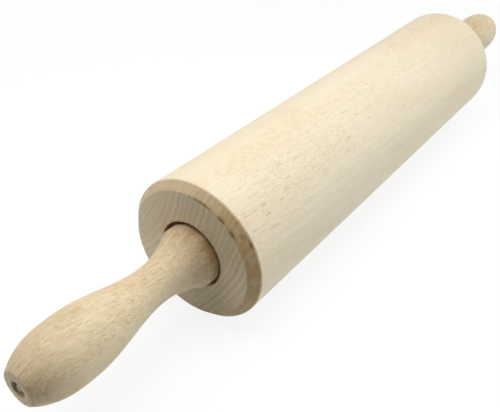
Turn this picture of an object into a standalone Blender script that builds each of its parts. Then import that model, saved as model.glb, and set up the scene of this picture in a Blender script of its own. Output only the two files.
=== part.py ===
"""Rolling pin: a turned beech barrel that runs on two ball bearings, on a steel axle
that passes through it and clamps a turned handle at each end.

Metres, +Z up. The pin's axis is X, and the origin is the middle of the barrel on that axis.
Run it with: blender --background --python part.py
"""

import math

import bmesh
import bpy

# Barrel
BARREL_RADIUS = 0.0350
BARREL_LENGTH = 0.2740
BARREL_CHAMFER = 0.0039
RECESS_DEPTH = 0.0050
RECESS_CLEARANCE = 0.00145
RECESS_BEVEL = 0.0004

# Handle: a straight collar at the barrel, a cove down to the neck, a belly, and a rounded tip.
# Each place is a distance from the barrel's end face.
HANDLE_REACH = 0.0910
COLLAR_RADIUS = 0.0147
COLLAR_BACK = -0.0021
COLLAR_EDGE = 0.0008
COLLAR_PLACE = 0.0028
COLLAR_ROUND = 0.0020
NECK_RADIUS = 0.0087
NECK_PLACE = 0.0250
BELLY_RADIUS = 0.01415
BELLY_PLACE = 0.0660
TIP_RADIUS = 0.0075
TIP_FULLNESS = 2.9
TIP_ROUND = 0.0014

# Counterbore in the handle's tip, over the web that the nut clamps
COUNTERBORE_CLEARANCE = 0.0003
NUT_SET_BACK = 0.0048
WEB_THICKNESS = 0.0080
MOUTH_BEVEL = 0.0001

# Ball bearing, 8 x 22 x 7 mm
BEARING_BORE = 0.0080
BEARING_OUTSIDE = 0.0220
BEARING_WIDTH = 0.0070
BEARING_EDGE = 0.0003
BALL_DIAMETER = 0.003969
BALL_PITCH = (BEARING_BORE + BEARING_OUTSIDE) / 2
BALL_COUNT = 7
LAND_OFFSET = 0.00145
SHIELD_THICKNESS = 0.0003
SHIELD_SET_BACK = 0.0002
SHIELD_SEAT = 0.00065
CAGE_THICKNESS = 0.0018
CAGE_WEB = 0.0006
CAGE_LIP = 0.0010

# Axle, and the washer and slotted round nut on its thread
AXLE_DIAMETER = 0.0100
THREAD_DIAMETER = 0.0040
AXLE_END_DEPTH = 0.0004
AXLE_END_BEVEL = 0.0007
WEB_PLAY = 0.0005
WASHER_THICKNESS = 0.0005
NUT_DIAMETER = 0.0064
NUT_HEIGHT = 0.0035
NUT_SLOT_WIDTH = 0.0014
NUT_SLOT_DEPTH = 0.0018
NUT_BEVEL = 0.0004
SPACER_WALL = 0.0018

# Clearances
FIT_GAP = 0.0002
RACE_GAP = 0.00015
RUNNING_GAP = 0.00025
BORE_CLEARANCE = 0.0010

# Faces round each turned piece, and along the curved stretches of an outline
BARREL_STEPS = 62
HANDLE_STEPS = 36
AXLE_STEPS = 22
RING_STEPS = 26
SMALL_STEPS = 18
EDGE_FACES = 3
COVE_FACES = 8
WAVE_FACES = 7
TIP_FACES = 5
GROOVE_FACES = 5
BALL_SEGMENTS = 10
BALL_RINGS = 6
SHARP_ANGLE = math.radians(32)
WELD = 1e-6

# Barrel, worked out from the middle towards one end
half_length = BARREL_LENGTH / 2
recess_radius = COLLAR_RADIUS + RECESS_CLEARANCE
recess_floor = half_length - RECESS_DEPTH
seat_radius = BEARING_OUTSIDE / 2 + FIT_GAP
seat_floor = recess_floor - BEARING_WIDTH - 2 * FIT_GAP

# Bearing
ball_radius = BALL_DIAMETER / 2
pitch_radius = BALL_PITCH / 2
race_radius = ball_radius + RACE_GAP
inner_land = pitch_radius - LAND_OFFSET
outer_land = pitch_radius + LAND_OFFSET
shield_seat_radius = outer_land + SHIELD_SEAT
bearing_centre = seat_floor + FIT_GAP + BEARING_WIDTH / 2
bearing_face = bearing_centre + BEARING_WIDTH / 2
bore_radius = inner_land + BORE_CLEARANCE

# Handle and what it clamps
tip_face = half_length + HANDLE_REACH
collar_back = half_length + COLLAR_BACK
journal_radius = BEARING_BORE / 2 - FIT_GAP
thread_radius = THREAD_DIAMETER / 2
nut_radius = NUT_DIAMETER / 2
counterbore_radius = nut_radius + COUNTERBORE_CLEARANCE
nut_face = tip_face - NUT_SET_BACK
nut_back = nut_face - NUT_HEIGHT
washer_back = nut_back - FIT_GAP - WASHER_THICKNESS
web_face = washer_back - FIT_GAP
web_back = web_face - WEB_THICKNESS
threaded_bore = thread_radius + FIT_GAP


def clear_scene():
    for obj in list(bpy.data.objects):
        bpy.data.objects.remove(obj, do_unlink=True)


def collection(name, helper=False):
    made = bpy.data.collections.new(name)
    made.hide_render = helper
    bpy.context.scene.collection.children.link(made)
    return made


def finish(name, colour, roughness, metallic=0.0):
    material = bpy.data.materials.new(name)
    material.use_nodes = True
    shader = material.node_tree.nodes["Principled BSDF"]
    shader.inputs["Base Color"].default_value = (*colour, 1.0)
    shader.inputs["Roughness"].default_value = roughness
    shader.inputs["Metallic"].default_value = metallic
    material.diffuse_color = (*colour, 1.0)
    return material


def arc(centre, radius, start, end, segments):
    """Points on a circle in the plane of the axis (x) and the radius, angles in degrees from +x."""
    turn = [math.radians(start + (end - start) * i / segments) for i in range(segments + 1)]
    return [(centre[0] + radius * math.cos(a), centre[1] + radius * math.sin(a)) for a in turn]


def turned(name, outline, steps):
    """The mesh that an outline of (x, radius) points makes when it turns about the X axis.

    The outline is a loop, or ends on the axis at both ends. It starts half a step from
    straight down, so that a flat, and not an edge, is lowest.
    """
    half_step = math.pi / steps
    points = [(x, r * math.sin(half_step), -r * math.cos(half_step)) for x, r in outline]
    edges = [(i, i + 1) for i in range(len(points) - 1)]
    if min(outline[0][1], outline[-1][1]) > 0:
        edges.append((len(points) - 1, 0))
    profile = bpy.data.meshes.new(name + "_profile")
    profile.from_pydata(points, edges, [])
    lathe = bpy.data.objects.new(name + "_lathe", profile)
    bpy.context.scene.collection.objects.link(lathe)
    screw = lathe.modifiers.new("turn", "SCREW")
    screw.axis = "X"
    screw.steps = steps
    screw.render_steps = steps
    screw.use_merge_vertices = True
    screw.merge_threshold = WELD
    mesh = realised(lathe, name)
    bpy.data.meshes.remove(profile)
    return mesh


def realised(obj, name):
    """The object's mesh with its modifiers applied, welded and facing out. The object goes."""
    graph = bpy.context.evaluated_depsgraph_get()
    mesh = bpy.data.meshes.new_from_object(obj.evaluated_get(graph))
    mesh.name = name
    bpy.data.objects.remove(obj, do_unlink=True)
    shape = bmesh.new()
    shape.from_mesh(mesh)
    bmesh.ops.remove_doubles(shape, verts=shape.verts, dist=WELD)
    bmesh.ops.recalc_face_normals(shape, faces=shape.faces)
    shape.to_mesh(mesh)
    shape.free()
    return mesh


def piece(name, mesh, material, parent, place=(0, 0, 0), side=1):
    """One sub-part. On the left side it is turned half round about Z, and its place with it."""
    obj = bpy.data.objects.new(name, mesh)
    parts.objects.link(obj)
    if not mesh.materials:
        mesh.materials.append(material)
    mesh.shade_smooth()
    mesh.set_sharp_from_angle(angle=SHARP_ANGLE)
    obj.parent = parent
    obj.location = (side * place[0] - parent.location[0], side * place[1], place[2])
    obj.rotation_euler = (0, 0, 0 if side > 0 else math.pi)
    return obj


def body(name, x=0.0):
    """An empty on the pin's axis, which carries the pieces that turn together."""
    empty = bpy.data.objects.new(name, None)
    empty.empty_display_type = "ARROWS"
    empty.empty_display_size = BARREL_RADIUS
    empty.location = (x, 0, 0)
    parts.objects.link(empty)
    return empty


def barrel_outline():
    """Outside and chamfer, then the recess for the handle's collar, the bearing seat and the bore."""
    end = [
        (half_length - BARREL_CHAMFER, BARREL_RADIUS),
        (half_length, BARREL_RADIUS - BARREL_CHAMFER),
        (half_length, recess_radius + RECESS_BEVEL),
        (half_length - RECESS_BEVEL, recess_radius),
        (recess_floor, recess_radius),
        (recess_floor, seat_radius),
        (seat_floor, seat_radius),
        (seat_floor, bore_radius),
    ]
    return end + [(-x, r) for x, r in reversed(end)]


def handle_radius(place):
    """The handle's outside from the collar to the tip, at a distance from the barrel's face.

    The collar ends in a round, and the cove is a circle that touches it and is level at the
    neck. From there to the belly runs half a cosine wave, and on to the tip a power curve.
    """
    round_centre = COLLAR_RADIUS - COLLAR_ROUND
    run = NECK_PLACE - COLLAR_PLACE
    rise = NECK_RADIUS - round_centre
    cove = (run**2 + rise**2 - COLLAR_ROUND**2) / (2 * (COLLAR_ROUND - rise))
    touch = COLLAR_PLACE + COLLAR_ROUND * run / (cove + COLLAR_ROUND)
    if place < touch:
        return round_centre + math.sqrt(COLLAR_ROUND**2 - (place - COLLAR_PLACE) ** 2)
    if place < NECK_PLACE:
        return NECK_RADIUS + cove - math.sqrt(cove**2 - (NECK_PLACE - place) ** 2)
    if place < BELLY_PLACE:
        wave = math.cos(math.pi * (place - NECK_PLACE) / (BELLY_PLACE - NECK_PLACE))
        return NECK_RADIUS + (BELLY_RADIUS - NECK_RADIUS) * (1 - wave) / 2
    share = (place - BELLY_PLACE) / (HANDLE_REACH - BELLY_PLACE)
    return BELLY_RADIUS - (BELLY_RADIUS - TIP_RADIUS) * share**TIP_FULLNESS


def between(start, end, count):
    return [start + (end - start) * i / count for i in range(count)]


def handle_outline():
    """The handle's outside, whose tip is rounded by a circle that touches the leaning side and
    the flat ring, and then the counterbore, the web's hole and the journal's bore.
    """
    edge_centre = (collar_back + COLLAR_EDGE, COLLAR_RADIUS - COLLAR_EDGE)
    edge = arc(edge_centre, COLLAR_EDGE, 180, 90, EDGE_FACES)
    places = between(COLLAR_PLACE, NECK_PLACE, COVE_FACES)
    places += between(NECK_PLACE, BELLY_PLACE, WAVE_FACES)
    lean = math.atan(TIP_FULLNESS * (BELLY_RADIUS - TIP_RADIUS) / (HANDLE_REACH - BELLY_PLACE))
    last = HANDLE_REACH - TIP_ROUND * (1 - math.sin(lean))
    places += between(BELLY_PLACE, last, TIP_FACES)
    sides = [(half_length + place, handle_radius(place)) for place in places]
    tip_centre = (tip_face - TIP_ROUND, handle_radius(last) - TIP_ROUND * math.cos(lean))
    tip = arc(tip_centre, TIP_ROUND, 90 - math.degrees(lean), 0, TIP_FACES // 2)
    inside = [
        (tip_face, counterbore_radius + MOUTH_BEVEL),
        (tip_face - MOUTH_BEVEL, counterbore_radius),
        (web_face, counterbore_radius),
        (web_face, threaded_bore),
        (web_back, threaded_bore),
        (web_back, journal_radius + FIT_GAP),
        (collar_back, journal_radius + FIT_GAP),
    ]
    return edge + sides + tip + inside


def axle_outline():
    end = [
        (seat_floor, AXLE_DIAMETER / 2),
        (seat_floor, journal_radius),
        (web_back - WEB_PLAY, journal_radius),
        (web_back - WEB_PLAY, thread_radius),
        (tip_face - AXLE_END_DEPTH - AXLE_END_BEVEL, thread_radius),
        (tip_face - AXLE_END_DEPTH, thread_radius - AXLE_END_BEVEL),
        (tip_face - AXLE_END_DEPTH, 0),
    ]
    return [(-x, r) for x, r in reversed(end)] + end


def groove(outside):
    """The ball's track in a ring, from +x to -x: the arc of the race between the lands."""
    reach = math.degrees(math.acos(LAND_OFFSET / race_radius))
    middle = 90 if outside else 270
    swing = reach if outside else -reach
    return arc((0, pitch_radius), race_radius, middle - swing, middle + swing, GROOVE_FACES)


def outer_ring_outline():
    half = BEARING_WIDTH / 2
    radius = BEARING_OUTSIDE / 2
    shield_shoulder = half - SHIELD_SET_BACK - SHIELD_THICKNESS - FIT_GAP
    side = [
        (half - BEARING_EDGE, radius),
        (half, radius - BEARING_EDGE),
        (half, shield_seat_radius),
        (shield_shoulder, shield_seat_radius),
        (shield_shoulder, outer_land),
    ]
    return side + groove(outside=True) + [(-x, r) for x, r in reversed(side)]


def inner_ring_outline():
    half = BEARING_WIDTH / 2
    side = [(half, BEARING_BORE / 2), (half, inner_land)]
    return side + groove(outside=False) + [(-x, r) for x, r in reversed(side)]


def ring_outline(inside, outside, start, end):
    return [(start, inside), (end, inside), (end, outside), (start, outside)]


def ball_mesh(name, radius, segments, rings):
    shape = bmesh.new()
    bmesh.ops.create_uvsphere(shape, u_segments=segments, v_segments=rings, radius=radius)
    mesh = bpy.data.meshes.new(name)
    shape.to_mesh(mesh)
    shape.free()
    return mesh


def ball_places():
    """Where the balls stand about the bearing's axis, the first one straight up."""
    turns = [2 * math.pi * i / BALL_COUNT for i in range(BALL_COUNT)]
    return [(pitch_radius * math.sin(a), pitch_radius * math.cos(a)) for a in turns]


def cage_mesh():
    """A crown cage: a ring with a pocket for each ball, open towards the bearing's inner side."""
    inside = pitch_radius - CAGE_THICKNESS / 2
    back = race_radius + CAGE_WEB
    blank = turned("cage_blank", ring_outline(inside, inside + CAGE_THICKNESS, -CAGE_LIP, back), RING_STEPS)
    cage = bpy.data.objects.new("cage_blank", blank)
    bpy.context.scene.collection.objects.link(cage)
    pocket = ball_mesh("cage_pocket", race_radius, BALL_SEGMENTS, BALL_RINGS)
    for i, (y, z) in enumerate(ball_places()):
        cutter = bpy.data.objects.new(f"cage_pocket_{i + 1}", pocket)
        cutters.objects.link(cutter)
        cutter.location = (0, y, z)
        cut_from(cage, cutter)
    return realised(cage, "bearing_cage")


def nut_mesh():
    """A round nut with a driving slot across its outer face."""
    outline = [
        (0, threaded_bore),
        (NUT_HEIGHT, threaded_bore),
        (NUT_HEIGHT, nut_radius - NUT_BEVEL),
        (NUT_HEIGHT - NUT_BEVEL, nut_radius),
        (0, nut_radius),
    ]
    blank = turned("nut_blank", outline, SMALL_STEPS)
    nut = bpy.data.objects.new("nut_blank", blank)
    bpy.context.scene.collection.objects.link(nut)
    shape = bmesh.new()
    bmesh.ops.create_cube(shape, size=1)
    size = (2 * NUT_SLOT_DEPTH, NUT_SLOT_WIDTH, 2 * NUT_DIAMETER)
    bmesh.ops.scale(shape, vec=size, verts=shape.verts)
    bmesh.ops.translate(shape, vec=(NUT_HEIGHT, 0, 0), verts=shape.verts)
    slot = bpy.data.meshes.new("nut_slot")
    shape.to_mesh(slot)
    shape.free()
    cutter = bpy.data.objects.new("nut_slot", slot)
    cutters.objects.link(cutter)
    cut_from(nut, cutter)
    return realised(nut, "nut")


def cut_from(obj, cutter):
    cutter.hide_render = True
    cutter.display_type = "WIRE"
    boolean = obj.modifiers.new(cutter.name, "BOOLEAN")
    boolean.operation = "DIFFERENCE"
    boolean.solver = "EXACT"
    boolean.object = cutter


def build_barrel():
    mesh = turned("barrel", barrel_outline(), BARREL_STEPS)
    piece("barrel", mesh, beech, barrel_body)


def build_axle():
    mesh = turned("axle", axle_outline(), AXLE_STEPS)
    piece("axle", mesh, bright_steel, axle_body)


def build_handles():
    mesh = turned("handle", handle_outline(), HANDLE_STEPS)
    for end, side in ENDS:
        piece(f"handle_{end}", mesh, handle_beech, axle_body, side=side)


def build_handle_hardware():
    """What each handle is clamped between: the spacer on the bearing, and the washer and nut."""
    spacer_start = bearing_face + FIT_GAP
    spacer_end = collar_back - FIT_GAP
    spacer_bore = journal_radius + FIT_GAP
    spacer_outline = ring_outline(spacer_bore, spacer_bore + SPACER_WALL, spacer_start, spacer_end)
    spacer = turned("spacer", spacer_outline, SMALL_STEPS)
    washer_outline = ring_outline(threaded_bore, nut_radius, 0, WASHER_THICKNESS)
    washer = turned("washer", washer_outline, SMALL_STEPS)
    nut = nut_mesh()
    for end, side in ENDS:
        piece(f"spacer_{end}", spacer, bright_steel, axle_body, side=side)
        piece(f"washer_{end}", washer, zinc_steel, axle_body, (washer_back, 0, 0), side)
        piece(f"nut_{end}", nut, zinc_steel, axle_body, (nut_back, 0, 0), side)


def build_bearings():
    outer_ring = turned("bearing_outer_ring", outer_ring_outline(), RING_STEPS)
    inner_ring = turned("bearing_inner_ring", inner_ring_outline(), RING_STEPS)
    shield_outline = ring_outline(
        inner_land + RUNNING_GAP, shield_seat_radius - FIT_GAP, 0, SHIELD_THICKNESS
    )
    shield = turned("bearing_shield", shield_outline, RING_STEPS)
    shield_place = BEARING_WIDTH / 2 - SHIELD_SET_BACK - SHIELD_THICKNESS
    ball = ball_mesh("bearing_ball", ball_radius, BALL_SEGMENTS, BALL_RINGS)
    cage = cage_mesh()
    centre = (bearing_centre, 0, 0)
    outer_shield_place = (bearing_centre + shield_place, 0, 0)
    inner_shield_place = (bearing_centre - shield_place - SHIELD_THICKNESS, 0, 0)
    for end, side in ENDS:
        piece(f"bearing_outer_ring_{end}", outer_ring, bright_steel, barrel_body, centre, side)
        piece(f"bearing_inner_ring_{end}", inner_ring, bright_steel, axle_body, centre, side)
        piece(f"bearing_shield_out_{end}", shield, zinc_steel, barrel_body, outer_shield_place, side)
        piece(f"bearing_shield_in_{end}", shield, zinc_steel, barrel_body, inner_shield_place, side)
        cage_body = body(f"cage_{end}_body", side * bearing_centre)
        piece(f"bearing_cage_{end}", cage, cage_nylon, cage_body, centre, side)
        for i, (y, z) in enumerate(ball_places()):
            place = (bearing_centre, y, z)
            piece(f"bearing_ball_{end}_{i + 1}", ball, bright_steel, cage_body, place, side)


ENDS = (("left", -1), ("right", 1))

clear_scene()
parts = collection("rolling_pin")
cutters = collection("rolling_pin_cutters", helper=True)
beech = finish("barrel_beech", (0.78, 0.66, 0.46), 0.55)
handle_beech = finish("handle_beech", (0.75, 0.60, 0.38), 0.50)
bright_steel = finish("bright_steel", (0.60, 0.60, 0.61), 0.30, 1.0)
zinc_steel = finish("zinc_steel", (0.52, 0.53, 0.55), 0.42, 1.0)
cage_nylon = finish("cage_nylon", (0.10, 0.10, 0.10), 0.50)
barrel_body = body("barrel_body")
axle_body = body("axle_body")
build_barrel()
build_axle()
build_handles()
build_bearings()
build_handle_hardware()
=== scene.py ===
import math

import bpy
import numpy as np
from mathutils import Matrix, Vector


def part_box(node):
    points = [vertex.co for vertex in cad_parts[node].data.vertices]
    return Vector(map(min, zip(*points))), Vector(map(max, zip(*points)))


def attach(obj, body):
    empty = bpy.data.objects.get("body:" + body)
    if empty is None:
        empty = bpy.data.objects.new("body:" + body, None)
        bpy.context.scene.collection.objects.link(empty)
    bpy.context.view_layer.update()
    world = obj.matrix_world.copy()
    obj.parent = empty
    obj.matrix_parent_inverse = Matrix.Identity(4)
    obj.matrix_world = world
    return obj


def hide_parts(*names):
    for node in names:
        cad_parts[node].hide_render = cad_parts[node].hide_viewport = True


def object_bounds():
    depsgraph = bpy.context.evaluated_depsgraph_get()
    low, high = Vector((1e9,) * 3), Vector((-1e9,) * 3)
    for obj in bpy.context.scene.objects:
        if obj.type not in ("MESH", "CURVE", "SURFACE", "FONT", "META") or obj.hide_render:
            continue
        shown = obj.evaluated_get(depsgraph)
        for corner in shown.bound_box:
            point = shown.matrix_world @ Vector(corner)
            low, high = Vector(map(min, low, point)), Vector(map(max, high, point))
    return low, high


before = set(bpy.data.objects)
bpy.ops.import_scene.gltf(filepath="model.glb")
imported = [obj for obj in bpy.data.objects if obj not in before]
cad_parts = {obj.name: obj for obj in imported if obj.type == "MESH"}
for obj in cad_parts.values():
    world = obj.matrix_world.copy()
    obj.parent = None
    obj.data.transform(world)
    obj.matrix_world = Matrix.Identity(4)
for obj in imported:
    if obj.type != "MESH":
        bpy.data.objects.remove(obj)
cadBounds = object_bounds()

# A turned beech rolling pin. X runs along the pin, Z is up, and the origin is the middle of the
# barrel on its axis. Lengths are in millimetres and angles in degrees; meshes are put in metres.
mm = 0.001
fullTurn = 2 * math.pi


def addObject(name, data):
    made = bpy.data.objects.new(name, data)
    bpy.context.scene.collection.objects.link(made)
    return made


# Camera, in metres, where the photograph was taken; back points from the pin to the camera
viewpoint = {
    "place": (-0.29915, -0.15099, 0.17749),
    "azimuth": -53.725,
    "elevation": 34.562,
    "lens": 46.53,
    "sensor": 36.0,
    "clip": (0.01, 50.0),
}


def makeCamera(look):
    azimuth = math.radians(look["azimuth"])
    elevation = math.radians(look["elevation"])
    level = math.cos(elevation)
    back = Vector((math.sin(azimuth) * level, -math.cos(azimuth) * level, math.sin(elevation)))
    data = bpy.data.cameras.new("photographCamera")
    data.lens = look["lens"]
    data.sensor_width = look["sensor"]
    data.clip_start, data.clip_end = look["clip"]
    camera = addObject("photographCamera", data)
    camera.location = look["place"]
    camera.rotation_euler = back.to_track_quat("Z", "Y").to_euler()
    bpy.context.scene.camera = camera


# A shader node with its settings; an input is a number, a colour or another node's output
def addNode(tree, kind, inputs=(), **settings):
    made = tree.nodes.new("ShaderNode" + kind)
    for setting, value in settings.items():
        setattr(made, setting, value)
    for socket, value in dict(inputs).items():
        if isinstance(value, bpy.types.NodeSocket):
            tree.links.new(value, made.inputs[socket])
        else:
            made.inputs[socket].default_value = value
    return made


def calc(tree, operation, *values, clamp=False):
    made = addNode(tree, "Math", enumerate(values), operation=operation, use_clamp=clamp)
    return made.outputs[0]


def times(tree, first, *others):
    for other in others:
        first = calc(tree, "MULTIPLY", first, other)
    return first


def timesPlus(tree, first, second, third):
    return calc(tree, "MULTIPLY_ADD", first, second, third)


def hypotenuse(tree, first, second):
    return calc(tree, "SQRT", timesPlus(tree, first, first, times(tree, second, second)))


def vectorCalc(tree, operation, *values, output="Vector"):
    made = addNode(tree, "VectorMath", enumerate(values), operation=operation)
    return made.outputs[output]


def joined(tree, x, y, z):
    return addNode(tree, "CombineXYZ", {0: x, 1: y, 2: z}).outputs[0]


def axesOf(tree, vector):
    return list(addNode(tree, "SeparateXYZ", {0: vector}).outputs)


# 0 below the low value, 1 above the high one, and a smooth step between; low may be the greater
def smoothStep(tree, value, low, high):
    limits = {"Value": value, "From Min": low, "From Max": high}
    made = addNode(tree, "MapRange", limits, interpolation_type="SMOOTHSTEP")
    return made.outputs["Result"]


def mixColour(tree, share, first, second, way="MIX"):
    inputs = {0: share, 6: first, 7: second}
    made = addNode(tree, "Mix", inputs, data_type="RGBA", blend_type=way)
    return made.outputs[2]


def noiseValue(tree, vector, scale, detail, output="Fac"):
    place = vectorCalc(tree, "MULTIPLY", vector, scale)
    inputs = {"Vector": place, "Scale": 1.0, "Detail": detail}
    return addNode(tree, "TexNoise", inputs).outputs[output]


# An sRGB colour, 0 to 255, as the linear one that a shader takes
def paint(red, green, blue):
    share = np.array((red, green, blue)) / 255
    linear = np.where(share < 0.04045, share / 12.92, ((share + 0.055) / 1.055) ** 2.4)
    return (*linear.tolist(), 1.0)


def tint(red, green, blue):
    return (red, green, blue, 1.0)


def startMaterial(name):
    material = bpy.data.materials.new(name)
    material.use_nodes = True
    tree = material.node_tree
    return material, tree, tree.nodes["Principled BSDF"]


# Base colour, a roughness that follows a field between its two limits, and a relief
def finishSurface(tree, shader, look, colour, field, limits, height, strength):
    smooth, rough = look["roughness"]
    ends = {"From Min": limits[0], "From Max": limits[1], "To Min": smooth, "To Max": rough}
    roughness = addNode(tree, "MapRange", {"Value": field, **ends}).outputs["Result"]
    inputs = {"Height": height, "Distance": look["relief"], "Strength": strength}
    bump = addNode(tree, "Bump", inputs).outputs[0]
    for socket, value in {"Base Color": colour, "Roughness": roughness, "Normal": bump}.items():
        tree.links.new(value, shader.inputs[socket])


def millimetres(tree):
    place = addNode(tree, "TexCoord").outputs["Object"]
    return vectorCalc(tree, "MULTIPLY", place, 3 * (1 / mm,))


def ownNumber(tree, name):
    return addNode(tree, "Attribute", attribute_name=name).outputs["Fac"]


# Stage: a pale floor under the barrel and an even white surround. floorGlow is the floor's own
# light, which grows to full white between the distances in floorWhite, where the lamps' ends.
stageLook = {
    "floorSize": 12.0,
    "floorColour": tint(0.67, 0.71, 0.76),
    "floorGlow": 0.85,
    "floorWhite": (0.32, 0.85),
    "floorShade": tint(0.18, 0.18, 0.18),
    "skyColour": tint(0.94, 1.0, 1.04),
    "skyLight": 1.66,
    "skyFrom": (0.985, 0.0, 0.174),
    "skySeen": 1.0,
}


# One shader lights the object, the other is what the camera sees, also in mirrors and glass
def bySight(tree, lighting, seen):
    path = addNode(tree, "LightPath").outputs
    direct = calc(tree, "ADD", path["Is Camera Ray"], path["Is Glossy Ray"])
    sight = calc(tree, "ADD", direct, path["Is Transmission Ray"], clamp=True)
    shaders = {0: sight, 1: lighting.outputs[0], 2: seen.outputs[0]}
    return addNode(tree, "MixShader", shaders).outputs[0]


def makeFloor(look):
    half = look["floorSize"] / 2
    low = cadBounds[0][2]
    corners = [(-half, -half, low), (half, -half, low), (half, half, low), (-half, half, low)]
    mesh = bpy.data.meshes.new("floor")
    mesh.from_pydata(corners, [], [(0, 1, 2, 3)])
    floor = addObject("floor", mesh)
    material, tree, shader = startMaterial("paleFloor")
    tree.nodes.remove(shader)
    plain = addNode(tree, "BsdfDiffuse", {"Color": look["floorColour"]})
    shaded = addNode(tree, "BsdfDiffuse", {"Color": look["floorShade"]})
    place = addNode(tree, "TexCoord").outputs["Object"]
    away = vectorCalc(tree, "LENGTH", place, output="Value")
    whiter = smoothStep(tree, away, *look["floorWhite"])
    strength = timesPlus(tree, whiter, 1.0 - look["floorGlow"], look["floorGlow"])
    glow = addNode(tree, "Emission", {"Strength": strength})
    seen = addNode(tree, "AddShader", {0: shaded.outputs[0], 1: glow.outputs[0]})
    surface = tree.nodes["Material Output"].inputs["Surface"]
    tree.links.new(bySight(tree, plain, seen), surface)
    mesh.materials.append(material)


def makeSurround(look):
    world = bpy.data.worlds.new("whiteSurround")
    world.use_nodes = True
    bpy.context.scene.world = world
    tree = world.node_tree
    tree.nodes.clear()
    # light on the object: most from the far end, less to the square of the cosine away from it
    way = addNode(tree, "TexCoord").outputs["Generated"]
    facing = vectorCalc(tree, "DOT_PRODUCT", way, look["skyFrom"], output="Value")
    facing = calc(tree, "MAXIMUM", facing, 0.0)
    strength = times(tree, facing, facing, look["skyLight"])
    lighting = {"Color": look["skyColour"], "Strength": strength}
    seen = {"Color": tint(1, 1, 1), "Strength": look["skySeen"]}
    skies = [addNode(tree, "Background", inputs) for inputs in (lighting, seen)]
    output = addNode(tree, "OutputWorld")
    tree.links.new(bySight(tree, *skies), output.inputs["Surface"])


# Soft boxes: where each stands in metres, what it points at, its size, power in watts and colour
softBoxes = {
    "overhead": {
        "place": (-0.10, 0.0, 0.55), "aim": (0.0, 0.0, 0.0), "size": 0.4,
        "power": 1.86, "colour": (1.0, 0.985, 0.94),
    },
    "rightSide": {
        "place": (0.65, -0.75, 0.285), "aim": (-0.1, 0.0, 0.0), "size": 0.7,
        "power": 4.15, "colour": (0.94, 0.99, 1.0),
    },
    "leftBack": {
        "place": (-0.65, 0.55, 0.78), "aim": (-0.1, 0.0, 0.0), "size": 0.7,
        "power": 3.0, "colour": (1.0, 1.0, 1.0),
    },
}


def makeSoftBoxes(boxes):
    for name, box in boxes.items():
        data = bpy.data.lights.new(name, "AREA")
        data.shape = "SQUARE"
        data.size = box["size"]
        data.energy = box["power"]
        data.color = box["colour"]
        lamp = addObject(name, data)
        lamp.location = box["place"]
        away = Vector(box["place"]) - Vector(box["aim"])
        lamp.rotation_euler = away.to_track_quat("Z", "Y").to_euler()


makeCamera(viewpoint)
makeFloor(stageLook)
makeSurround(stageLook)
makeSoftBoxes(softBoxes)
print("camera, floor and lights are made")


def unit(vectors):
    return vectors / np.maximum(np.linalg.norm(vectors, axis=1, keepdims=True), 1e-9)


# Path through the corners, each one rounded: its arc touches both sides at the distance
# radius / tan(half the corner's angle) and swings evenly between the two touching points.
# Between the arcs a side is cut at shares that follow half a cosine, so rows crowd near its ends.
def roundedPath(corners, radii, cuts, arcSteps=3, closed=True):
    corners = np.asarray(corners, float)
    radii = np.asarray(radii, float)[:, None]
    toLast, toNext = (unit(np.roll(corners, way, axis=0) - corners) for way in (1, -1))
    half = np.arccos(np.clip((toLast * toNext).sum(1), -1, 1))[:, None] / 2
    centre = corners + (toLast + toNext) / (2 * np.cos(half)) * radii / np.sin(half)
    touch = radii / np.tan(half)
    start = corners + toLast * touch
    end = corners + toNext * touch
    swing = np.pi - 2 * half[:, None]
    if not closed:
        start[0] = end[0] = centre[0] = corners[0]
        start[-1] = end[-1] = centre[-1] = corners[-1]
        swing[0] = swing[-1] = 1
    share = np.linspace(0, 1, arcSteps + 1)[None, :, None]
    spokes = np.sin((1 - share) * swing) * (start - centre)[:, None]
    spokes = (spokes + np.sin(share * swing) * (end - centre)[:, None]) / np.sin(swing)
    arcs = (centre[:, None] + spokes).reshape(-1, 2)
    arcKeys = (np.arange(len(corners))[:, None] + np.linspace(0, 0.3, arcSteps + 1)).ravel()
    cuts = np.asarray(cuts)
    side = np.repeat(np.arange(len(cuts)), cuts)
    step = np.arange(len(side)) - np.repeat(np.cumsum(cuts) - cuts, cuts) + 1
    along = (1 - np.cos(np.pi * step / (cuts[side] + 1))) / 2
    ends = np.roll(start, -1, axis=0)
    sides = end[side] + (ends[side] - end[side]) * along[:, None]
    keys = np.concatenate([arcKeys, side + 0.4 + along / 2])
    path = np.concatenate([arcs, sides])[np.argsort(keys, kind="stable")]
    return path if closed else path[arcSteps:-arcSteps]


# Place along X, radius and angle of a turned grid's points, with columns at even angles
def gridPlaces(outline, columns):
    angles = np.arange(columns) * fullTurn / columns
    return np.broadcast_arrays(outline[:, :1], outline[:, 1:], angles)


# Turned points: (x, r cos a, r sin a) for the place x, the radius r and the angle a
def turned(x, r, a):
    return np.stack([x, r * np.cos(a), r * np.sin(a)], axis=-1)


def turnedGrid(outline, columns):
    return turned(*gridPlaces(outline, columns))


# Outward direction of a closed outline's points: the neighbours' difference turned a quarter to
# the left, which is outwards where the outside runs towards +X
def outlineNormals(outline):
    step = unit(np.roll(outline, -1, axis=0) - np.roll(outline, 1, axis=0))
    return np.stack([-step[:, 1], step[:, 0]], axis=1)


def pick(shape, *keys):
    return [shape[key] for key in keys]


# 0 for values below zero, 1 above the width, and the value over the width between
def ramp(value, width=1):
    return np.clip(value / width, 0, 1)


# A tone that swings round the axis: mean plus swing times the cosine of the angle from its most
def roundTone(angle, mean, swing, most):
    return mean + swing * np.cos(angle - math.radians(most))


# Angle from each mark to each point, the short way round
def angleGap(angle, marks):
    return (angle[..., None] - np.radians(marks) + np.pi) % fullTurn - np.pi


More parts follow.
